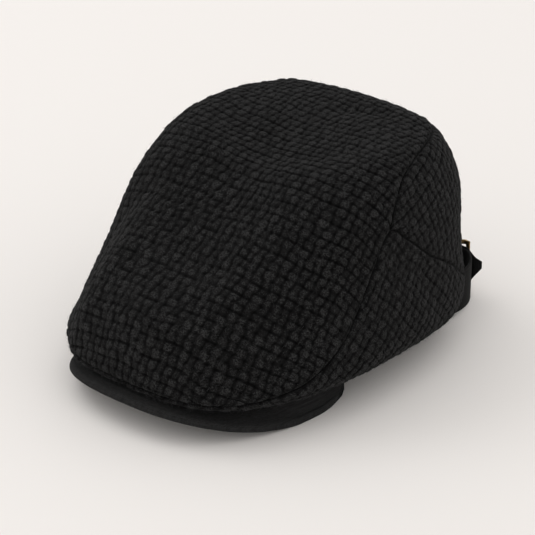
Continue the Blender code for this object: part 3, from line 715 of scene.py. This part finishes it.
def peakCover(name, node, rolled):
    # half of the peak's cloth: a crescent whose outer edge follows a quarter ellipse towards the other half
    turns = np.linspace(-1, 1, 181) * peak["tipTurn"]
    rim, field = np.linspace(0, 1, 13)[:-1] ** 2 * 0.10, np.linspace(0.10, 0.96, 21)
    turn, share = np.meshgrid(turns, np.concatenate([rim, field, [0.975, 0.99, 1.0]]))
    plan, width = peakPlan(turn, share)
    height = peakTop(plan, share, width)
    run = share * width
    radius = peak["stack"] / 2
    inside = np.clip(run / radius, 0, 1)
    bulge = radius * (1 - np.sqrt(np.maximum(0, 1 - (1 - inside) ** 2)))
    stitched = sum(deep * np.exp(-((run - place) / wide) ** 2) for deep, place, wide in peak["stitches"])
    middle = height - radius
    least, floor = peak["leastCover"], height - peak["stack"]
    if rolled == "down":
        first = height - bulge - stitched
        second = np.maximum(np.minimum(height - peak["cover"], height - bulge - least), middle)
    else:
        first = floor + bulge + stitched
        second = np.minimum(np.maximum(floor + peak["cover"], first + least), middle)
    second += (middle - second) * np.clip(1 - (width - run) / peak["seamRim"], 0, 1)  # the halves meet there
    second = np.where(share == 0, first, second)
    outer = np.concatenate([plan, first[..., None]], -1)
    inner = np.concatenate([plan, second[..., None]], -1)
    made = slab(name, outer, inner, blackTwill, np.stack([arcAlong(outer, 1), run], -1))
    fit(made, node)


def slabRim(rows, columns):
    # quads that join the borders of two matching grids, the second numbered after the first
    at = np.arange(rows * columns).reshape(rows, columns)
    start = rows * columns
    faces = []
    for line in (at[0][::-1], at[-1], at[:, 0], at[:, -1][::-1]):
        for a, b in zip(line[:-1].tolist(), line[1:].tolist()):
            faces.append([b, a, a + start, b + start])
    return faces


def slab(name, outer, inner, material, uv):
    # closed solid between two matching grids
    rows, columns = outer.shape[:2]
    faces = gridFaces(rows, columns).tolist() + gridFaces(rows, columns, rows * columns, flip=True).tolist()
    faces += slabRim(rows, columns)
    uv = uv.reshape(-1, 2)
    points = np.concatenate([outer.reshape(-1, 3), inner.reshape(-1, 3)])
    return addMesh(name, points, faces, material, np.concatenate([uv, uv]))


peakCover("peak_cover_top", "peak_top_cover", "down")
peakCover("peak_cover_under", "peak_under_cover", "up")
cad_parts["peak_board"].data.materials.clear()
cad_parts["peak_board"].data.materials.append(whiteBoard)
print("peak made")


inside = {"liningDepth": 4.6, "liningGap": 0.5, "liningThickness": 0.6, "seam": 0.60, "headFront": -81.0,
          "headHalfWidth": 76.8, "squareness": 2.4, "frontHalfWidth": 95.0, "turnRadius": 3.0,
          "lowEdges": (0.93, 0.76), "bandDepth": 5.8, "bandThickness": 1.0, "bandHeight": 28.0,
          "bandLift": 1.0, "bandGap": 2.2, "bandDip": 5, "bandSection": 0.35, "bandEnd": 1}


def behindHead(points, depth):
    # keeps the lining behind the head's oval, where the hollow crown reaches out over the peak
    share = np.clip(np.abs(points[..., 0]) / inside["frontHalfWidth"], 0, 1)
    n = inside["squareness"]
    limit = (inside["headFront"] + depth) * (1 - share ** n) ** (1 / n)
    sharp = inside["turnRadius"]
    gap = points[..., 1] - limit
    moved = limit + np.where(gap > 30, gap, np.log1p(np.exp(np.clip(gap / sharp, -60, 30))) * sharp)
    return np.stack([points[..., 0], np.where(gap > 30, points[..., 1], moved), points[..., 2]], -1)


def liningPoints(q, extra):
    # the crown moved inwards along its normals by a depth that follows the folds and rumples a little
    base, normals = crownAt(q), crownNormals(q)
    rumple = 0.35 * drift(base[..., 0] * 1.6, base[..., 1] + base[..., 2], 71)
    depth = inside["liningDepth"] + inside["liningGap"] + extra + rumple + np.maximum(foldDepth(base), 0)
    return behindHead(base - depth[..., None] * normals, 1.0 + extra)


def liningLow(degrees):
    # the lining's lower edge climbs over the rear opening
    low, high = inside["lowEdges"]
    return low + (high - low) * easedStep(np.clip((onLeft(degrees) - 38) / 10, 0, 1))


def makeLining():
    # two sides blended between seam and lower edge, and a top from a square drawn onto the disc
    t = np.linspace(0, 1, 41)[:, None]
    for name, node, start, stop in (("satin_side_left", "lining_side_left", -90.0, 90.0),
                                    ("satin_side_right", "lining_side_right", 270.0, 90.0)):
        degrees = np.linspace(start, stop, 161)
        low = liningLow(degrees)[None]
        q = onDisc(np.broadcast_to(degrees, (41, 161)), inside["seam"] + (low - inside["seam"]) * t)
        grids = [liningPoints(q, extra) for extra in (0.0, inside["liningThickness"])]
        addSewn(name, node, grids)
    side = np.linspace(-1, 1, 97)
    a, b = np.meshgrid(side, side)
    q = np.stack([a * np.sqrt(1 - b * b / 2), b * np.sqrt(1 - a * a / 2)], -1) * inside["seam"]
    grids = [liningPoints(q, extra) for extra in (0.0, inside["liningThickness"])]
    addSewn("satin_top", "lining_top", grids)


def addSewn(name, node, grids):
    # a satin piece between an outer and an inner grid
    u, v = arcAlong(grids[0], 1), arcAlong(grids[0], 0)
    piece = slab(name, grids[0], grids[1], blackSatin, np.stack([u, v], -1))
    fit(piece, node)
    sewnGrid(piece, grids[0])


def sweatbandPoints(degrees, extra, lift):
    # upright inside the hem; along the front it follows the head's oval
    angle = np.radians(degrees)
    s = np.sin(angle)
    q = onDisc(degrees, np.ones_like(degrees) * 0.999)
    bottom = smoothCrown(angle, np.ones_like(angle))[..., 2] + inside["bandLift"]
    hem = crownAt(q) - (inside["bandDepth"] + extra) * crownNormals(q)
    n = inside["squareness"]
    width, depth = inside["headHalfWidth"] - extra, -inside["headFront"] - inside["bandGap"] - extra
    radius = (np.abs(np.cos(angle) / width) ** n + np.abs(s / depth) ** n) ** (-1 / n)
    plan = np.where((s >= 0)[..., None], hem[..., :2],
                    np.stack([radius * np.cos(angle), radius * s], -1))
    bottom = np.where(s < 0, bottom - inside["bandDip"] * s * s, bottom)
    return np.concatenate([plan, (bottom + lift)[..., None]], -1)


def makeSweatband():
    # the band's section carried round the hem from one end of the rear opening to the other
    start = crown["openingEdge"] - inside["bandEnd"]
    degrees = np.linspace(start, -180 - start, 241)
    around = np.linspace(0, 2 * math.pi, 33)[:-1]
    half, thick, power = inside["bandHeight"] / 2, inside["bandThickness"] / 2, inside["bandSection"]
    rings = []
    for a in around:  # rounded section, thin and tall
        lift = half + half * math.copysign(abs(math.sin(a)) ** power, math.sin(a))
        extra = thick + thick * math.copysign(abs(math.cos(a)) ** power, math.cos(a))
        rings.append(sweatbandPoints(degrees, extra, lift))
    grid = np.stack(rings, 1)
    u = np.repeat(arcAlong(grid, 0)[:, :1], len(around), 1)
    v = np.broadcast_to(np.abs(around - math.pi)[None] * 18, u.shape)
    piece = capped("sweatband_twill", grid, bandTwill, np.stack([u, v], -1))
    fit(piece, "sweatband")
    length = float(u.max())
    sewnSheet(piece, length, inside["bandHeight"])


def capped(name, grid, material, uv):
    # tube of closed sections along a path, shut by a polygon at each end
    rows, columns = grid.shape[:2]
    faces = gridFaces(rows, columns, wrapColumns=True).tolist()
    faces.append(list(range(columns))[::-1])
    faces.append([(rows - 1) * columns + k for k in range(columns)])
    return addMesh(name, grid.reshape(-1, 3), faces, material, np.asarray(uv).reshape(-1, 2))


# edge and reach are degrees before the rear opening's edge, the next four are shares of the way down
# the crown, and the depths are under its surface
tape = {"edge": 0.4, "reach": 5.0, "footShare": 0.80, "outerTop": 0.795, "innerTop": 0.76,
        "innerCorner": 0.765, "depths": (3.1, 3.6), "upright": 24, "over": 120}


def makeBinding():
    # a tape blended between two lines that run up, over and down the rear opening
    edge, inner = crown["openingEdge"] - tape["edge"], crown["openingEdge"] - tape["reach"]
    upright = tape["upright"]
    up = np.linspace(1.0, tape["footShare"], upright)
    over = np.linspace(edge, 180 - edge, tape["over"])
    outerDegrees = np.concatenate([np.full(upright, edge), over, np.full(upright, 180 - edge)])
    outerDown = np.concatenate([up, np.full(tape["over"], tape["outerTop"]), up[::-1]])
    innerOver = inner + (over - edge) * (90 - inner) / (90 - edge)
    innerDegrees = np.concatenate([np.full(upright, inner), innerOver, np.full(upright, 180 - inner)])
    innerUp = np.maximum(up, tape["innerCorner"])
    innerDown = np.concatenate([innerUp, np.full(tape["over"], tape["innerTop"]), innerUp[::-1]])
    outerLine, innerLine = onDisc(outerDegrees, outerDown), onDisc(innerDegrees, innerDown)
    across = np.linspace(0, 1, 6)[:, None, None]
    q = outerLine[None] + (innerLine - outerLine)[None] * across
    base, normals = crownAt(q), crownNormals(q)
    grids = [base - depth * normals for depth in tape["depths"]]
    u, v = arcAlong(grids[0], 1), arcAlong(grids[0], 0)
    piece = slab("opening_tape", grids[0], grids[1], bandTwill, np.stack([u, v], -1))
    fit(piece, "opening_binding")


makeLining()
makeSweatband()
makeBinding()
print("lining, sweatband and binding made")


strap = {"low": 3.5, "high": 29.5, "thickness": 1.5, "spacing": 2.3, "wire": 2.6, "wireGap": 0.3,
         "closing": 6.0, "ringLength": 9.0, "ringCorner": 3.0, "ringClear": 0.2, "tabOuter": 17.0,
         "tailPoint": 11.0, "tipRise": 5.0, "tipShare": 0.16, "edgeRound": 0.75, "stitch": (0.16, 2.2, 0.32),
         "sewnEnd": ((67.0, 69.5), (63.6, 77.5), (63.2, 86.5), (63.2, 95.5), (61.3, 104.0), (56.9, 111.9)),
         "straight": ((50.0, 118.2), (7.0, 125.5)), "spans": 5,
         "ringEnd": ((-1.7, 126.6), (-10.0, 126.3), (-17.5, 124.8), (-24.5, 122.4)),
         "tab": ((-40.5, 116.2), (-50.2, 110.6), (-58.2, 104.0), (-62.8, 95.5), (-63.2, 86.5), (-63.6, 77.5),
                 (-67.0, 69.5)),
         "tail": ((2.0, 0.4), (3.8, 1.1), (5.2, 2.2), (6.2, 3.4))}
slider = {"sheet": 1.1, "length": 22.0, "bar": 2.8, "low": 0.0, "high": 33.0, "gap": 0.6, "place": 13.4,
          "level": 0.3, "bevel": 0.35, "bevelAngle": 50}


def smoothRoute(points, spacing=0.8):
    # Catmull-Rom curve through plan points
    p = np.array(points, float)
    p = np.concatenate([[2 * p[0] - p[1]], p, [2 * p[-1] - p[-2]]])
    parts = []
    for a, b, c, d in zip(p, p[1:], p[2:], p[3:]):
        f = np.linspace(0, 1, max(2, round(float(np.linalg.norm(c - b)) / spacing)), endpoint=False)[:, None]
        parts.append(catmullRom(a, b, c, d, f))
    return np.concatenate(parts + [p[-2:-1]])


def travelOf(line):
    # unit direction along a plan line
    return unit(np.gradient(line, axis=0))


def awayFromCap(travel):
    # the direction turned a right angle outwards
    return np.stack([travel[..., 1], -travel[..., 0]], -1)


def runOf(line):
    # length run along a line from its start
    return np.concatenate([[0], np.cumsum(np.linalg.norm(np.diff(line, axis=0), axis=1))])


foldRadius = strap["wire"] / 2 + strap["wireGap"] + strap["thickness"] / 2


def layerSpacing(distance):
    # distance between the strap's layers: wide at the ring's bar, closing by a gaussian
    near = np.exp(-(distance / strap["closing"]) ** 2)
    return strap["spacing"] + (2 * foldRadius - strap["spacing"]) * near


def foldRound(centre, travel, forward=1, steps=17):
    # half circle round a ring bar, from the inner layer to the outer one
    out = awayFromCap(travel)
    a = np.linspace(0, math.pi, steps)[1:-1, None]
    return centre + foldRadius * (forward * np.sin(a) * travel - np.cos(a) * out)


def ribbon(name, node, line, tip=0.0):
    # upright strap: a flat section with rounded edges and two stitched grooves, carried along a plan line
    run = runOf(line)
    middle, half = (strap["low"] + strap["high"]) / 2, (strap["high"] - strap["low"]) / 2
    thick = strap["thickness"] / 2
    heights = np.concatenate([np.linspace(-1, 1, 53), np.linspace(1, -1, 53)])
    side = np.concatenate([np.full(53, 1.0), np.full(53, -1.0)])
    fromEdge = (1 - np.abs(heights)) * half
    rounding = np.sqrt(np.clip(1 - (1 - np.clip(fromEdge / strap["edgeRound"], 0, 1)) ** 2, 0, 1))
    depth, place, spread = strap["stitch"]
    groove = depth * np.exp(-((fromEdge - place) / spread) ** 2)
    profile = side * (thick * (0.12 + 0.88 * rounding) - groove)
    least = strap["tipShare"]
    share = np.minimum(1, least + (1 - least) * (run[-1] - run) / tip) if tip else np.ones_like(run)
    across = awayFromCap(travelOf(line))
    plan = line[:, None] + profile[None, :, None] * across[:, None]
    z = middle + half * heights[None] * share[:, None] + strap["tipRise"] * (1 - share[:, None])
    grid = np.concatenate([plan, z[..., None]], -1)
    uv = np.stack([np.broadcast_to(run[:, None], z.shape), z], -1)
    piece = capped(name, grid, blackWebbing, uv)
    fit(piece, node)


def strapRoute():
    # the inner layer's plan line, with where its straight part starts and which way it runs
    start, end = (np.array(p) for p in strap["straight"])
    along = (end - start) / np.linalg.norm(end - start)
    straight = tuple(start + (end - start) * k / strap["spans"] for k in range(strap["spans"] + 1))
    return smoothRoute(strap["sewnEnd"] + straight + strap["ringEnd"]), start, along


def makeStraps():
    # inner layer, half circle round the bar and outer layer with its tail; then the tab the same way
    inner, start, along = strapRoute()
    travel, run = travelOf(inner), runOf(inner)
    nearBar = inner[-1] + foldRadius * awayFromCap(travel[-1])
    keep = ((inner - start) @ along >= 0) & (run < run[-1] - 0.5)
    outer = (inner + layerSpacing(run[-1] - run)[:, None] * awayFromCap(travel))[keep][::-1]
    out = awayFromCap(along)
    tail = np.array([outer[-1] - ahead * along + off * out for ahead, off in strap["tail"]])
    tail = smoothRoute(np.concatenate([outer[-4:-3], tail]), 0.6)
    outer = outer[:-4]
    line = np.concatenate([inner, foldRound(nearBar, travel[-1]), outer, tail])
    ribbon("strap_webbing", "adjuster_strap", line, tip=strap["tailPoint"])
    farBar = nearBar + strap["ringLength"] * travel[-1]
    first = farBar - foldRadius * awayFromCap(travel[-1])
    inner = smoothRoute((tuple(first),) + strap["tab"])
    tabTravel, run = travelOf(inner), runOf(inner)
    keep = (run > 0.5) & (run < strap["tabOuter"])
    outer = (inner + layerSpacing(run)[:, None] * awayFromCap(tabTravel))[keep]
    line = np.concatenate([inner[::-1], foldRound(farBar, travel[-1], -1), outer])
    ribbon("tab_webbing", "ring_tab", line)
    return nearBar, farBar


def makeRing(nearBar, farBar):
    # round wire carried along a rectangle with round corners
    along = unit(farBar - nearBar)
    out = awayFromCap(along)
    corner, half = strap["ringCorner"], strap["ringLength"] / 2
    inset = strap["wire"] / 2 + strap["ringClear"]
    low, high = slider["low"] + inset, slider["high"] - inset
    path = []
    for quarter, (u, v) in enumerate(((1, 1), (-1, 1), (-1, -1), (1, -1))):
        a = math.pi / 2 * (quarter + np.linspace(0, 1, 13))
        height = (high if v > 0 else low) - v * corner
        path.append(np.stack([u * (half - corner) + corner * np.cos(a), height + corner * np.sin(a)], -1))
    path = np.concatenate(path)
    fine = np.concatenate([path, path[:1]])
    run = runOf(fine)
    keep = np.concatenate([[True], np.diff(run[:-1]) > 1e-6])
    path = path[keep]
    tangent = unit(np.roll(path, -1, 0) - np.roll(path, 1, 0))
    a = np.linspace(0, 2 * math.pi, 21)[:-1]
    reach = strap["wire"] / 2
    u = path[:, None, 0] + reach * tangent[:, None, 1] * np.cos(a)
    z = path[:, None, 1] - reach * tangent[:, None, 0] * np.cos(a)
    off = np.broadcast_to(reach * np.sin(a), u.shape)
    plan = (nearBar + farBar) / 2 + u[..., None] * along + off[..., None] * out
    grid = np.concatenate([plan, z[..., None]], -1)
    faces = gridFaces(*grid.shape[:2], wrapRows=True, wrapColumns=True).tolist()
    piece = addMesh("ring_brass", grid.reshape(-1, 3), faces, agedBrass)
    fit(piece, "strap_ring")


def sliderOffset(u):
    # the middle bar lies under both layers and the end bars over them; the rails arch between
    under = -strap["thickness"] / 2 - slider["gap"] - slider["sheet"] / 2
    over = strap["spacing"] + strap["thickness"] / 2 + slider["gap"] + slider["sheet"] / 2
    inner = slider["bar"] / 2 + slider["level"]
    outer = slider["length"] / 2 - slider["bar"] - slider["level"]
    share = np.clip((np.abs(u) - inner) / (outer - inner), 0, 1)
    return under + (over - under) * (1 - np.cos(math.pi * share)) / 2


def makeSlider():
    # sheet brass with arched rails: a grid of cells, less those of two windows, given thickness along the
    # arch's own normal and then bevelled
    _, start, along = strapRoute()
    out = awayFromCap(along)
    centre = start + slider["place"] * along
    half, inner = slider["length"] / 2, slider["bar"] / 2
    right = np.concatenate([np.linspace(inner, half - slider["bar"], 15), [half]])
    columns = np.concatenate([-right[::-1], right])
    low, high, step = slider["low"], slider["high"], 0.05
    levels = np.array([low, low + slider["bar"], high - slider["bar"], high])
    slope = (sliderOffset(columns + step) - sliderOffset(columns - step)) / (2 * step)
    length = np.hypot(1, slope)
    layers = []
    for side in (0.5, -0.5):
        shift = side * slider["sheet"] / length
        off = (sliderOffset(columns) + shift)[:, None] * out
        plan = centre + (columns - shift * slope)[:, None] * along + off
        layers.append(np.stack([np.concatenate([plan, np.full((len(plan), 1), z)], -1) for z in levels]))
    points = np.concatenate([layer.reshape(-1, 3) for layer in layers])
    width, count = len(columns), len(columns) * len(levels)
    reach = np.abs(columns[1:] + columns[:-1]) / 2
    faces, edges = [], set()
    for j in range(3):
        for i in range(width - 1):
            if j == 1 and inner < reach[i] < half - slider["bar"]:
                continue
            corners = (j * width + i, j * width + i + 1, (j + 1) * width + i + 1, (j + 1) * width + i)
            faces += [list(corners), [c + count for c in reversed(corners)]]
            edges |= set(zip(corners, corners[1:] + corners[:1]))
    faces += [[b, a, a + count, b + count] for a, b in sorted(edges) if (b, a) not in edges]
    used = np.unique(np.concatenate([np.array(f) for f in faces]))
    index = {int(v): k for k, v in enumerate(used)}
    piece = addMesh("slider_brass", points[used], [[index[int(v)] for v in f] for f in faces], agedBrass)
    bevel = piece.modifiers.new("rounded edges", "BEVEL")
    bevel.width, bevel.segments, bevel.limit_method = slider["bevel"] * mm, 3, "ANGLE"
    bevel.angle_limit = math.radians(slider["bevelAngle"])
    fit(piece, "strap_slider", "slider")


nearBar, farBar = makeStraps()
makeRing(nearBar, farBar)
makeSlider()
print("strap, ring and slider made")


fuzz = {"count": 7000, "length": (1.6, 4.2), "radius": 0.055, "rings": 5, "sides": 3,
        "shares": {"top_panel": 0.46, "side_band_left": 0.16, "side_band_right": 0.16, "rear_panel": 0.22}}


def makeFuzz():
    # loose fibres: three-sided tapering hairs on the outer face, rising, leaning over and curling by a sine
    random = np.random.default_rng(5)
    roots, ups = [], []
    for node, share in fuzz["shares"].items():
        _, outer, normals, _ = knitPanels[node]
        count = int(fuzz["count"] * share)
        i, j = random.integers(2, outer.shape[0] - 2, count), random.integers(2, outer.shape[1] - 2, count)
        roots.append(outer[i, j])
        ups.append(normals[i, j])
    root, up = np.concatenate(roots), unit(np.concatenate(ups))
    count = len(root)
    side = unit(np.cross(up, random.normal(size=(count, 3))))
    bend = unit(np.cross(up, side))
    length = random.uniform(*fuzz["length"], count)[:, None]
    curl = random.uniform(0.3, 1.3, count)[:, None]
    rise = random.uniform(0.15, 0.75, count)[:, None]
    rings, sides = fuzz["rings"], fuzz["sides"]
    centres, radii = [], []
    for t in np.linspace(0, 1, rings):
        centres.append(root - 0.2 * up + length * (rise * t * (1 - 0.45 * curl * t) * up + 0.8 * t * side
                                                   + 0.35 * curl * np.sin(t * 2.6) * bend))
        radii.append(fuzz["radius"] * (1 - 0.8 * t))
    centre = np.stack(centres, 1)
    points = []
    for k in range(sides):
        a = 2 * math.pi * k / sides
        away = (math.cos(a) * up + math.sin(a) * bend)[:, None]
        points.append(centre + np.array(radii)[None, :, None] * away)
    grid = np.stack(points, 2)
    local = gridFaces(rings, sides, wrapColumns=True)
    first = (np.arange(count) * rings * sides)[:, None, None]
    faces = (local[None] + first).reshape(-1, 4).tolist()
    ends = np.stack([np.arange(sides), rings * sides - 1 - np.arange(sides)])
    faces += (ends[None] + first).reshape(-1, sides).tolist()
    uv = np.broadcast_to(np.arange(count)[:, None, None, None] * 0.7, (count, rings, sides, 2)).reshape(-1, 2)
    piece = addMesh("knit_fibres", grid.reshape(-1, 3), faces, fibreMaterial, uv)
    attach(piece, "cap")


fibreMaterial = wovenMaterial("looseFibre", (0.01, 0.01, 0.01), (0.075, 0.075, 0.078), 0.8, 200, 0.0, 0.00001)
makeFuzz()
print("fibres made")


# metres and degrees; each light has a place, a power in watts and a size
studio = {"floor": (0.83, 0.80, 0.775), "floorHalf": 6.0, "worldColour": (1.0, 0.99, 0.98),
          "worldStrength": 1.0, "azimuth": 40.3, "elevation": 26.2, "distance": 1.3,
          "target": (-0.005, 0.0, 0.045), "lens": 154.1, "sensor": 36.0, "lightTarget": (0, 0, 0.05),
          "lights": {"keyLight": ((-1.6, -0.3, 2.0), 7.5, 1.2), "fillLight": ((1.8, -1.6, 1.2), 2.0, 1.6)}}


def makeStage():
    # a pale level floor and an even sky
    half = studio["floorHalf"]
    corners = [(-half, -half, 0), (half, -half, 0), (half, half, 0), (-half, half, 0)]
    mesh = bpy.data.meshes.new("floor")
    mesh.from_pydata(corners, [], [(0, 1, 2, 3)])
    floor = bpy.data.objects.new("floor", mesh)
    bpy.context.scene.collection.objects.link(floor)
    material, _, shader = startMaterial("paleFloor", {"Roughness": 0.9})
    shader.inputs["Base Color"].default_value = (*studio["floor"], 1.0)
    mesh.materials.append(material)
    world = bpy.data.worlds.new("studio")
    bpy.context.scene.world = world
    world.use_nodes = True
    background = world.node_tree.nodes["Background"]
    background.inputs["Color"].default_value = (*studio["worldColour"], 1.0)
    background.inputs["Strength"].default_value = studio["worldStrength"]


def addSoftLight(name, place, power, size):
    # a square lamp turned towards the cap
    light = bpy.data.lights.new(name, "AREA")
    light.energy, light.size = power, size
    made = bpy.data.objects.new(name, light)
    bpy.context.scene.collection.objects.link(made)
    made.location = place
    aim(made, studio["lightTarget"])


def aim(made, target):
    # turn and tilt from the direction to the target
    direction = np.array(target) - np.array(made.location)
    yaw = math.atan2(direction[0], -direction[1])
    pitch = math.atan2(math.hypot(direction[0], direction[1]), -direction[2])
    made.rotation_euler = (pitch, 0, yaw + math.pi)


def makeCamera():
    # the camera stands at a distance from its target along an azimuth and an elevation
    a, e = math.radians(studio["azimuth"]), math.radians(studio["elevation"])
    back = np.array((math.sin(a) * math.cos(e), -math.cos(a) * math.cos(e), math.sin(e)))
    camera = bpy.data.cameras.new("camera")
    camera.lens, camera.sensor_width = studio["lens"], studio["sensor"]
    made = bpy.data.objects.new("camera", camera)
    bpy.context.scene.collection.objects.link(made)
    made.location = np.array(studio["target"]) + studio["distance"] * back
    aim(made, studio["target"])
    bpy.context.scene.camera = made
    bpy.context.scene.view_settings.view_transform = "Standard"


makeStage()
for name, (place, power, size) in studio["lights"].items():
    addSoftLight(name, place, power, size)
makeCamera()
print("stage made")
